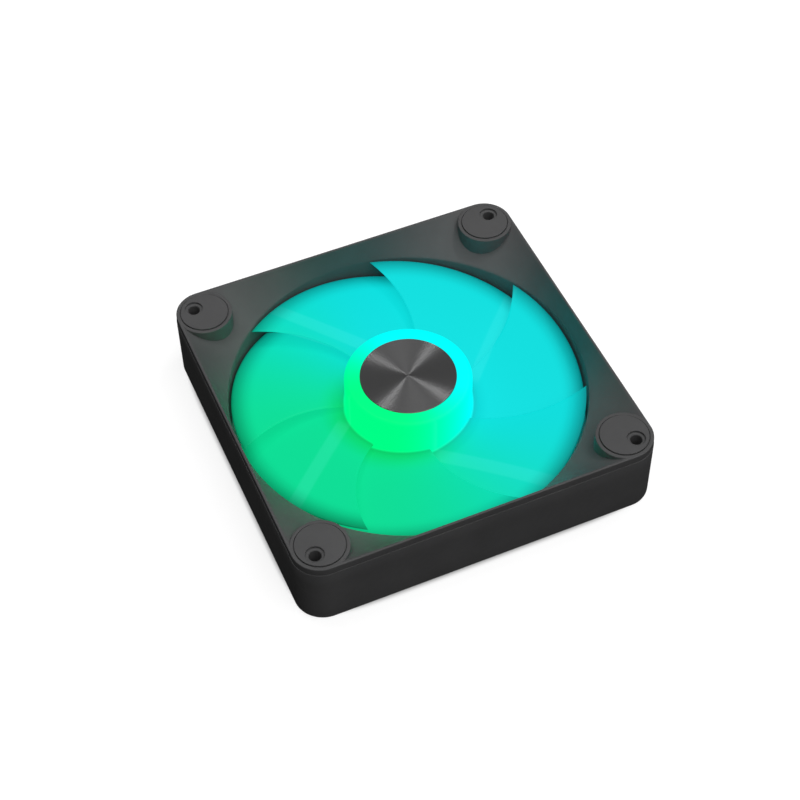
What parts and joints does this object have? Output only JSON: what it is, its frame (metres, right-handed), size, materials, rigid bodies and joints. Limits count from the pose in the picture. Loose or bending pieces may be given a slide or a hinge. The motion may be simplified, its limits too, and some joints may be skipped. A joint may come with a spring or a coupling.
{
  "type": "case fan",
  "caption": "Square computer case fan with a sloped bezel, round corner pads, a lit translucent impeller and a brushed metal hub disc.",
  "frame": {"origin": "on the spin axis at the faces of the rear pads", "axes": "+Z along the spin axis towards the front, the air intake; +X and +Y square to the frame's sides"},
  "size_m": [0.14, 0.14, 0.03],
  "materials": {
    "frame": "fine matt moulded black",
    "pad": "smooth grey-black rubber",
    "impeller": "milky translucent, lit from inside",
    "hub_disc": "radially brushed, dark anodised",
    "brass": "turned",
    "steel": "ground",
    "yoke_steel": "drawn and zinc plated",
    "sintered_bronze": "oil-filled sintered bronze",
    "low_friction_plastic": "smooth",
    "cap": "smooth",
    "ring_magnet": "bonded ferrite",
    "stator_core": "stacked laminations",
    "insulator": "moulded nylon",
    "winding": "enamelled copper wire",
    "circuit_board": "solder mask",
    "chip": "moulded package",
    "board_parts": "surface-mount parts",
    "leds": "clear lens over a white package",
    "rear_label": "plain film sticker without text"
  },
  "bodies": {
    "housing": {"frame": "frame", "bearing_tube": "brass", "sleeve_bearing": "sintered_bronze", "oil_seal": "low_friction_plastic", "thrust_pad": "low_friction_plastic", "rear_cap": "cap", "stator_core": "stator_core", "upper_insulator": "insulator", "lower_insulator": "insulator", "terminal_pins": "brass", "circuit_board": "circuit_board", "hall_sensor": "chip", "driver_chip": "chip", "board_parts": "board_parts", "leds": "leds", "rear_label": "rear_label", "front_pad_1": "pad", "front_pad_2": "pad", "front_pad_3": "pad", "front_pad_4": "pad", "rear_pad_1": "pad", "rear_pad_2": "pad", "rear_pad_3": "pad", "rear_pad_4": "pad", "coil_1": "winding", "coil_2": "winding", "coil_3": "winding", "coil_4": "winding"},
    "rotor": {"impeller": "impeller", "yoke": "yoke_steel", "ring_magnet": "ring_magnet", "shaft": "steel", "shaft_bushing": "brass", "lock_ring": "steel", "hub_disc": "hub_disc"}
  },
  "joints": [
    {"name": "rotor_spin", "type": "hinge", "parent": "housing", "child": "rotor", "pos_m": [0, 0, 0], "axis": [0, 0, 1], "continuous": true}
  ]
}
